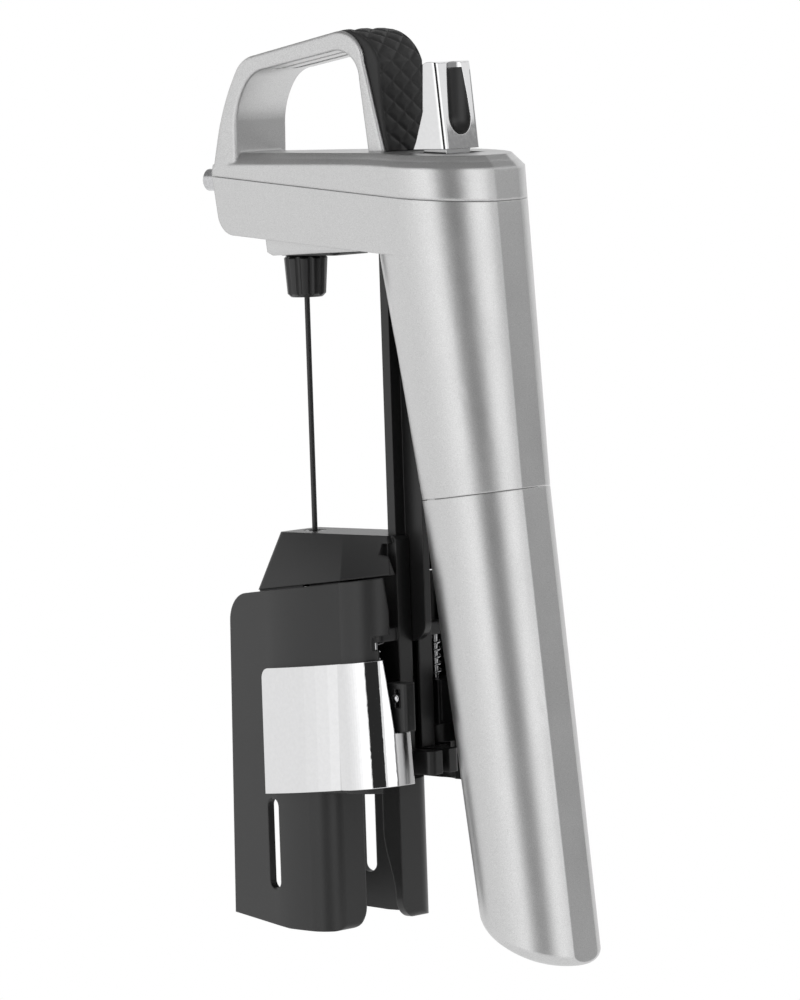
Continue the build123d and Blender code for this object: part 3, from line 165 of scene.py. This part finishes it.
def moulded(name, dark, light, rough_low, rough_high, grain, strength, edge=0.0004, gloss=0.5):
    """Moulded plastic or rubber with a fine grain."""
    m = Nodes(name)
    fine = m.noise(grain, detail=3.0, roughness=0.6)
    broad = m.noise(45.0)
    m.surface(Base_Color=m.tint(broad, grey(dark), grey(light)),
              Roughness=m.spread(fine, rough_low, rough_high), Specular_IOR_Level=gloss)
    m.bump(fine, strength, distance=0.00008, edge=edge)
    return m.material


def metal(name, dark, light, rough_low, rough_high):
    """Bare or plated metal with fine marks."""
    m = Nodes(name)
    fine = m.noise(1500.0, detail=3.0)
    m.surface(Base_Color=m.tint(fine, grey(dark), grey(light)), Metallic=1.0,
              Roughness=m.spread(fine, rough_low, rough_high))
    m.bump(fine, strength=0.05, distance=0.00005, edge=0.0002)
    return m.material


# For moulded: shades, roughness, grain and strength of the relief. For metal: shades and roughness.
MATERIALS = {
    "satin_silver": satin_silver("satin_silver", edge=0.0005),
    "chrome": chrome(),
    "soft_black": moulded("soft_black", 0.008, 0.010, 0.32, 0.42, 3800.0, 0.12, edge=0.0006, gloss=0.52),
    "black_plastic": moulded("black_plastic", 0.008, 0.011, 0.30, 0.42, 2600.0, 0.08),
    "needle_black": moulded("needle_black", 0.008, 0.012, 0.25, 0.38, 3000.0, 0.05),
    "grip_rubber": moulded("grip_rubber", 0.010, 0.014, 0.50, 0.62, 4200.0, 0.15),
    "pad_rubber": moulded("pad_rubber", 0.012, 0.018, 0.6, 0.75, 3000.0, 0.15),
    "brake_felt": moulded("brake_felt", 0.03, 0.05, 0.85, 0.95, 1800.0, 0.5),
    "guide_bush": moulded("guide_bush", 0.02, 0.03, 0.2, 0.3, 2600.0, 0.04),
    "steel": metal("steel", 0.5, 0.62, 0.16, 0.26),
    "capsule_steel": metal("capsule_steel", 0.55, 0.68, 0.18, 0.30),
    "regulator_metal": metal("regulator_metal", 0.48, 0.6, 0.28, 0.4),
}


def dress_nodes():
    """Gives each CAD node its material, and the handle's casting softer edges."""
    for row in frame["record"]["subparts"]:
        data = NODES[row["node"]].data
        data.materials.clear()
        data.materials.append(MATERIALS[row["material_slot"]])
    NODES["top_cover"].data.materials[0] = satin_silver("satin_silver_handle", edge=0.0012)


# ---------------------------------------- helpers for the scene's own pieces
def skin_rings(rings, name, slot, body, crease=30):
    """Skins rings of points, in millimetres, into one closed piece that rides a body."""
    mesh = bmesh.new()
    loops = [[mesh.verts.new((x / 1000, y / 1000, z / 1000)) for x, y, z in ring] for ring in rings]
    for one, two in zip(loops, loops[1:]):
        for i in range(len(one)):
            j = (i + 1) % len(one)
            mesh.faces.new((one[i], two[i], two[j], one[j]))
    mesh.faces.new(loops[0])
    mesh.faces.new(list(reversed(loops[-1])))
    bmesh.ops.recalc_face_normals(mesh, faces=mesh.faces)
    data = bpy.data.meshes.new(name)
    mesh.to_mesh(data)
    mesh.free()
    data.shade_smooth()
    data.set_sharp_from_angle(angle=radians(crease))
    piece = bpy.data.objects.new(name, data)
    SCENE.collection.objects.link(piece)
    data.materials.append(MATERIALS[slot])
    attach(piece, body)
    return piece


def node_tree(name):
    """A search tree over a CAD node's mesh, for casting rays at it."""
    solid = bmesh.new()
    solid.from_mesh(NODES[name].data)
    tree = BVHTree.FromBMesh(solid)
    solid.free()
    return tree


# ---------------------------------------- quilted grip, in millimetres
HEAD_FRONT, HEAD_TOP = -23.9, 146.5                  # where the handle's outline starts, as in the solids
HANDLE_LENGTH, HANDLE_HEIGHT = 61.0, 31.8
BAR_START, BAR_END = (0.2, 0.806), (0.744, 1.014)    # the outline's points, in shares of length and height
BEND, REAR = (0.889, 0.956), (0.977, 0.739)
LEG, LEG_END = (0.984, 0.425), (1.015, 0.004)
BAR_STEPS, BEND_STEPS, LEG_STEPS = 125, 72, 96
GRIP_FRONT, GRIP_HALF = -8.95, 9.25
QUILT_ALONG, QUILT_ACROSS = 2.72, 3.7                # half diagonals of a quilted diamond
QUILT_DEPTH, SEAM_SHARPNESS, SEAM_POWER = 0.38, 2.6, 2.2
CROSSING_HEIGHT = 156.7                              # where two seams cross on the grip's middle line
PLAIN_EDGE, QUILT_RAMP = 0.5, 0.5                    # from the edge: no quilting, then the quilting rises
CROWN_DROP, CROWN_POWER = 0.35, 4
EDGE_R, EDGE_STEPS, FACE_STEPS = 0.8, 6, 68
GRIP_SINK = 0.02                                     # keeps the skin within the solid's height
SMOOTHING = 12                                       # stations on each side in the mean inward direction
PROBE_DEPTH = 0.00002                                # metres under the outline, where the ray starts


def on_handle(shares):
    """A point of the handle's side outline, from shares of its length and height."""
    return Vector((HEAD_FRONT + shares[0] * HANDLE_LENGTH, HEAD_TOP + shares[1] * HANDLE_HEIGHT))


def arc_points(a, b, c, count):
    """Points from a through b to c on one circle, without a itself."""
    ab, ac = b - a, c - a
    cross = 2.0 * (ab.x * ac.y - ab.y * ac.x)
    centre = a + Vector((ac.y * ab.length_squared - ab.y * ac.length_squared,
                         ab.x * ac.length_squared - ac.x * ab.length_squared)) / cross
    first = a - centre
    turn = first.angle_signed(b - centre) + (b - centre).angle_signed(c - centre)
    points = []
    for i in range(1, count + 1):
        angle = -turn * i / count
        points.append(centre + Vector((first.x * cos(angle) - first.y * sin(angle),
                                       first.x * sin(angle) + first.y * cos(angle))))
    return points


def grip_stations():
    """Points, outward directions and lengths along the grip's outer side outline, from front to foot."""
    bar_start, bar_end, rear = on_handle(BAR_START), on_handle(BAR_END), on_handle(REAR)
    start = bar_start.lerp(bar_end, (GRIP_FRONT - bar_start.x) / (bar_end.x - bar_start.x))
    line = [start.lerp(bar_end, i / BAR_STEPS) for i in range(BAR_STEPS + 1)]
    line += arc_points(bar_end, on_handle(BEND), rear, BEND_STEPS)
    line += arc_points(rear, on_handle(LEG), on_handle(LEG_END), LEG_STEPS)
    stations, run = [], 0.0
    for i, point in enumerate(line):
        ahead = (line[min(i + 1, len(line) - 1)] - line[max(i - 1, 0)]).normalized()
        run += (point - line[i - 1]).length if i else 0.0
        stations.append((point, Vector((-ahead.y, ahead.x)), run))
    return stations


def places_across():
    """Places across the grip: closer on its rounded edges, and even between them."""
    edge = [-GRIP_HALF + EDGE_R * (1 - cos(pi / 2 * i / EDGE_STEPS)) for i in range(EDGE_STEPS)]
    width = 2 * (GRIP_HALF - EDGE_R)
    face = [-GRIP_HALF + EDGE_R + width * i / FACE_STEPS for i in range(FACE_STEPS + 1)]
    return edge + face + [-y for y in reversed(edge)]


def quilt(along, across):
    """Height of the quilting, from 0 on a diamond's crown down to minus its depth in a seam."""
    p, q = along / QUILT_ALONG, across / QUILT_ACROSS
    nearest = min(abs(w - round(w)) for w in ((p + q) / 2, (p - q) / 2))
    rise = 1.0 - (1.0 - min(1.0, nearest * SEAM_SHARPNESS)) ** SEAM_POWER
    return QUILT_DEPTH * (rise - 1.0)


def grip_height(along, across, crossing):
    """How far the grip's skin stands from its outline: crowned, quilted and rounded at both edges."""
    margin = GRIP_HALF - abs(across)
    height = -GRIP_SINK - CROWN_DROP * (across / GRIP_HALF) ** CROWN_POWER
    fade = min(1.0, max(0.0, (margin - PLAIN_EDGE) / QUILT_RAMP))
    height += fade * quilt(along - crossing, across)
    if margin < EDGE_R:
        height -= EDGE_R - sqrt(max(0.0, EDGE_R ** 2 - (EDGE_R - margin) ** 2))
    return height


def make_grip():
    """Rubber grip with quilted diamonds, which stands for the plain solid grip."""
    inside = node_tree("handle_grip")
    stations = grip_stations()
    crossing = [run for point, out, run in stations if point.y > CROSSING_HEIGHT][-1]
    rings = []
    for i, (point, out, run) in enumerate(stations):
        ring = []
        for y in places_across():
            skin = point + out * grip_height(run, y, crossing)
            ring.append((skin.x, y, skin.y))
        near = stations[max(0, i - SMOOTHING):i + SMOOTHING + 1]
        outward = sum((station[1] for station in near), Vector((0.0, 0.0))).normalized()
        inward = -Vector((outward.x, 0.0, outward.y))
        start = Vector((point.x, 0.0, point.y)) / 1000 + inward * PROBE_DEPTH
        thickness = inside.ray_cast(start, inward)[3] * 1000
        back = point - outward * thickness
        rings.append(ring + [(back.x, GRIP_HALF, back.y), (back.x, -GRIP_HALF, back.y)])
    grip = skin_rings(rings, "quilted_grip", "grip_rubber", "head", crease=60)
    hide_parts("handle_grip")


# ---------------------------------------- lining of the trigger's thumb hollow, in millimetres
HOLLOW_X, HOLLOW_Z, HOLLOW_R = 58.1, 155.43, 5.6     # the hollow's ball in the solids; a bore is above it
FACE_LOW, FACE_TOP = (55.7, 146.9), (53.6, 167.3)    # the trigger's rear face, X and Z at its ends
FACE_MARGIN = 0.12                                   # how far the lining's edge stays behind that face
LINING_FOOT, LINING_PITCH, LINING_ROWS, LINING_STEPS = 150.5, 0.2, 89, 12
LINING_GAP, LINING_DEPTH = 0.03, 0.3                 # from the hollow's wall to the lining's two faces
LINING_NARROWEST = 0.12                              # radians


def hollow_radius(z, radius):
    """Level radius, at a height, of a wall like the hollow's: a ball with a bore above it."""
    low = min(0.0, z - HOLLOW_Z)
    return sqrt(radius ** 2 - low ** 2)


def hollow_angle(z):
    """The widest angle at which the hollow's wall, at a height, is still behind the rear face."""
    face_x = FACE_LOW[0] + (FACE_TOP[0] - FACE_LOW[0]) * (z - FACE_LOW[1]) / (FACE_TOP[1] - FACE_LOW[1])
    share = (HOLLOW_X - face_x + FACE_MARGIN) / hollow_radius(z, HOLLOW_R)
    return acos(share) if share < 1 else 0.0


def make_lining():
    """Thin black lining in the trigger's thumb hollow."""
    rings = []
    across = range(-LINING_STEPS, LINING_STEPS + 1)
    for z in (LINING_FOOT + LINING_PITCH * i for i in range(LINING_ROWS)):
        widest = hollow_angle(z)
        if widest <= LINING_NARROWEST:
            continue
        ring = []
        for depth, turns in ((LINING_GAP, across), (LINING_DEPTH, reversed(across))):
            r = hollow_radius(z, HOLLOW_R - depth)
            angles = [widest * i / LINING_STEPS for i in turns]
            ring += [(HOLLOW_X - r * cos(angle), r * sin(angle), z) for angle in angles]
        rings.append(ring)
    skin_rings(rings, "thumb_lining", "soft_black", "trigger")


# ---------------------------------------- wall of the cup's domed end, in millimetres
DOME_X, DOME_Z, DOME_R = 82.817, -38.0, 29.0         # the ball of the cup's end
SEAM_X, SEAM_Z, TILT = 59.7, 56.5, radians(6.75)     # where the tube's axis crosses the seam, and its lean
TUBE_UP = Vector((-sin(TILT), 0.0, cos(TILT)))
BORE_FLOOR = -116.862                                # along the tube's axis from the seam
BORE_R, BORE_TAPER = 12.939, 0.01579                 # radius at the floor, and its growth with height
END_MARGIN, END_RISE, END_WALL = 0.9, 0.02, 0.8
END_PITCH, END_ROWS, END_STEPS = 0.2, 70, 16
END_TURNS = [radians(0.1 * k) for k in range(900)]   # round the ball, from straight down to level
END_NARROWEST = 0.01                                 # radians


def in_bore(x, y, z):
    """Whether a point is in the cup's bore or within the margin round it."""
    arm = Vector((x - SEAM_X, y, z - SEAM_Z))
    height = arm.dot(TUBE_UP)
    reach = (arm - height * TUBE_UP).length
    widest = BORE_R + BORE_TAPER * (height - BORE_FLOOR) + END_MARGIN
    return height > BORE_FLOOR - END_MARGIN and reach < widest


def make_cup_end():
    """Thin wall that closes the cup's domed end at the front, where the bore breaks through it."""
    rings = []
    steps = range(END_STEPS + 1)
    for i in range(-END_ROWS, END_ROWS + 1):
        y = END_PITCH * i
        flat = sqrt(DOME_R ** 2 - y ** 2)
        open_turns = [t for t in END_TURNS if in_bore(DOME_X - flat * sin(t), y, DOME_Z - flat * cos(t))]
        if not open_turns or open_turns[-1] - open_turns[0] <= END_NARROWEST:
            continue
        first, last, share = open_turns[0], open_turns[-1], y / DOME_R
        ring = []
        for radius, order in ((DOME_R + END_RISE, steps), (DOME_R - END_WALL, reversed(steps))):
            flat = radius * sqrt(1 - share ** 2)
            turns = [first + (last - first) * k / END_STEPS for k in order]
            ring += [(DOME_X - flat * sin(t), share * radius, DOME_Z - flat * cos(t)) for t in turns]
        rings.append(ring)
    wall = skin_rings(rings, "cup_end", "satin_silver", "cup")
    wall.data.materials[0] = satin_silver("satin_silver_end", edge=0.0)


# ---------------------------------------- lips under the clamp's hood, in millimetres
HOOD_EDGE_Z, HOOD_EDGE_SLOPE = 30.9, 0.115           # the hood's lower edge: height at X = 0, and slope
LIP_FRONT, LIP_PITCH, LIP_ROWS = -11.5, 0.5, 40
LIP_RISE, LIP_DEPTH = 0.2, 1.0                       # above and below the hood's lower edge
LIP_WALL, LIP_INSET = 0.8, 0.25
RAY_RISE, RAY_START = 0.3, 40.0                      # above the hood's lower edge, and outside the hood


def make_hood_lips():
    """Short lips inside the hood's lower edges, which close the view through the seam over the jaws."""
    housing = node_tree("clamp_housing")
    for name, side in (("near_hood_lip", -1), ("far_hood_lip", 1)):
        rings = []
        for x in (LIP_FRONT + LIP_PITCH * i for i in range(LIP_ROWS)):
            edge_z = HOOD_EDGE_Z + HOOD_EDGE_SLOPE * x
            start = Vector((x, side * RAY_START, edge_z + RAY_RISE)) / 1000
            hit = housing.ray_cast(start, Vector((0.0, -side, 0.0)))[0]
            if hit is None:                          # in front of the hood
                continue
            outer = hit.y * 1000 - side * LIP_INSET
            inner = outer - side * LIP_WALL
            top, foot = edge_z + LIP_RISE, edge_z - LIP_DEPTH
            rings.append([(x, outer, top), (x, outer, foot), (x, inner, foot), (x, inner, top)])
        skin_rings(rings, name, "soft_black", "clamp")


# ---------------------------------------- light, floor and background, in metres and degrees
CENTRE, FLOOR_Z, FLOOR_HALF = Vector((0.03, 0.0, 0.05)), -0.30, 6.0
STAND = 0.02                                         # how far the boxes and cards stand above the floor
WHITE, WORLD_LIGHT = (1.0, 1.0, 1.0, 1.0), 0.7
STAGE_NOISE = 3.0
LEFT_START, LEFT_STEP = -39.0, 7.5                   # bearings of the left boxes
LEFT_RADIANCE = (0.03, 0.07, 0.13, 0.21, 0.32, 0.46, 0.60, 0.70)
RIGHT_FROM, RIGHT_TO, RIGHT_RADIANCE = 66.0, 96.0, 0.50
BOX_DISTANCE, BOX_HEIGHT = 1.6, 2.4
CARDS = (                                            # name, bearings from and to, distance, height, shade
    ("camera_gap", 24.0, 60.0, 2.6, 2.6, 0.03),
    ("rear_card", 103.0, 175.0, 1.8, 0.62, 0.33),
)
CEILING_Z, CEILING_HALF, CEILING_SHADE = 1.45, 2.0, 0.30
LAMPS = (                                            # name, place, size, power in watts
    ("above", (-0.1, -0.5, 1.3), 1.0, 10.0),
    ("fill", (-0.9, -1.3, 0.9), 1.2, 8.0),
)


def seen_by_eye(tree):
    """1 for camera, glossy and transmission rays, and 0 for the rest."""
    path = tree.nodes.new("ShaderNodeLightPath")
    first, both = tree.nodes.new("ShaderNodeMath"), tree.nodes.new("ShaderNodeMath")
    first.operation = both.operation = "MAXIMUM"
    tree.links.new(path.outputs["Is Camera Ray"], first.inputs[0])
    tree.links.new(path.outputs["Is Glossy Ray"], first.inputs[1])
    tree.links.new(first.outputs[0], both.inputs[0])
    tree.links.new(path.outputs["Is Transmission Ray"], both.inputs[1])
    return both.outputs[0]


def show_white(tree, kind, shader, output):
    """Shows plain white to the camera and in mirrors, and the tree's own shader to everything else."""
    seen = tree.nodes.new(kind)
    seen.inputs["Color"].default_value = WHITE
    seen.inputs["Strength"].default_value = 1.0
    mix = tree.nodes.new("ShaderNodeMixShader")
    tree.links.new(seen_by_eye(tree), mix.inputs[0])
    tree.links.new(tree.nodes[shader].outputs[0], mix.inputs[1])
    tree.links.new(seen.outputs[0], mix.inputs[2])
    tree.links.new(mix.outputs[0], tree.nodes[output].inputs["Surface"])


def make_world():
    """A plain soft light from all round, which is white to the camera and in mirrors."""
    world = bpy.data.worlds.new("world")
    SCENE.world = world
    world.use_nodes = True
    light = world.node_tree.nodes["Background"]
    light.inputs["Color"].default_value = WHITE
    light.inputs["Strength"].default_value = WORLD_LIGHT
    show_white(world.node_tree, "ShaderNodeBackground", "Background", "World Output")


def stage_plane(name, corners, material):
    """A plane that isn't part of the object."""
    mesh = bpy.data.meshes.new(name)
    mesh.from_pydata(corners, [], [(0, 1, 2, 3)])
    mesh.materials.append(material)
    plane = bpy.data.objects.new(name, mesh)
    SCENE.collection.objects.link(plane)
    return plane


def level_square(half, z):
    """Corners of a level square round the Z axis."""
    return [(-half, -half, z), (half, -half, z), (half, half, z), (-half, half, z)]


def make_floor():
    """A pale floor that lights the object from below, and is white to the camera and in mirrors."""
    m = Nodes("floor_white")
    m.surface(Base_Color=m.tint(m.noise(STAGE_NOISE), grey(0.83, 1), grey(0.86, 1)), Roughness=0.8)
    show_white(m.tree, "ShaderNodeEmission", "Principled BSDF", "Material Output")
    stage_plane("floor", level_square(FLOOR_HALF, FLOOR_Z), m.material)


def from_centre(bearing, distance, height):
    """A place round the object. Bearing 0 lies along -Y and 90 along +X."""
    turn = radians(bearing)
    return Vector((CENTRE.x + distance * sin(turn), CENTRE.y - distance * cos(turn), height))


def area_light(name, width, height, power):
    """A rectangular lamp, still to be placed."""
    data = bpy.data.lights.new(name, "AREA")
    data.shape = "RECTANGLE"
    data.size, data.size_y = width, height
    data.energy = power
    lamp = bpy.data.objects.new(name, data)
    SCENE.collection.objects.link(lamp)
    return lamp


def soft_box(name, low, high, radiance):
    """An upright lamp that fills the bearings from low to high, given by its brightness."""
    middle = (low + high) / 2
    width = 2 * BOX_DISTANCE * tan(radians((high - low) / 2))
    lamp = area_light(name, width, BOX_HEIGHT, radiance * pi * width * BOX_HEIGHT)
    lamp.location = from_centre(middle, BOX_DISTANCE, BOX_HEIGHT / 2 + FLOOR_Z + STAND)
    lamp.rotation_euler = (radians(90), 0.0, radians(middle))


def hidden_lamp(name, place, size, power):
    """A square lamp that lights the object without showing in it."""
    lamp = area_light(name, size, size, power)
    lamp.location = place
    lamp.rotation_euler = (CENTRE - Vector(place)).to_track_quat("-Z", "Y").to_euler()
    lamp.visible_glossy = False


def card(name, corners, shade):
    """A card of one grey that mirrors show and the camera doesn't."""
    m = Nodes(name)
    glow = m.tint(m.noise(STAGE_NOISE), grey(0.97 * shade, 1), grey(1.03 * shade, 1))
    m.surface(Base_Color=(0.0, 0.0, 0.0, 1.0), Roughness=0.9, Specular_IOR_Level=0.0, Emission_Color=glow,
              Emission_Strength=1.0)
    plane = stage_plane(name, corners, m.material)
    plane.visible_camera = False
    plane.visible_shadow = False
    return plane


def upright_card(name, low, high, distance, height, shade):
    """An upright card that fills the bearings from low to high."""
    middle = (low + high) / 2
    half = distance * tan(radians((high - low) / 2))
    foot = FLOOR_Z + STAND
    top = foot + height
    plane = card(name, [(-half, 0, foot), (half, 0, foot), (half, 0, top), (-half, 0, top)], shade)
    plane.location = from_centre(middle, distance, 0.0)
    plane.rotation_euler = (0.0, 0.0, radians(middle))


def make_lights():
    """Soft boxes to the left and right, upright cards, a card overhead and two lamps."""
    for i, radiance in enumerate(LEFT_RADIANCE):
        low = LEFT_START + LEFT_STEP * i
        soft_box(f"left_box_{i}", low, low + LEFT_STEP, radiance)
    soft_box("right_box", RIGHT_FROM, RIGHT_TO, RIGHT_RADIANCE)
    for row in CARDS:
        upright_card(*row)
    ceiling = card("ceiling_card", level_square(CEILING_HALF, 0), CEILING_SHADE)
    ceiling.location = (CENTRE.x, CENTRE.y, CEILING_Z)
    for row in LAMPS:
        hidden_lamp(*row)


# ---------------------------------------- the scene
make_camera()
dress_nodes()
make_grip()
make_lining()
make_cup_end()
make_hood_lips()
make_world()
make_floor()
make_lights()
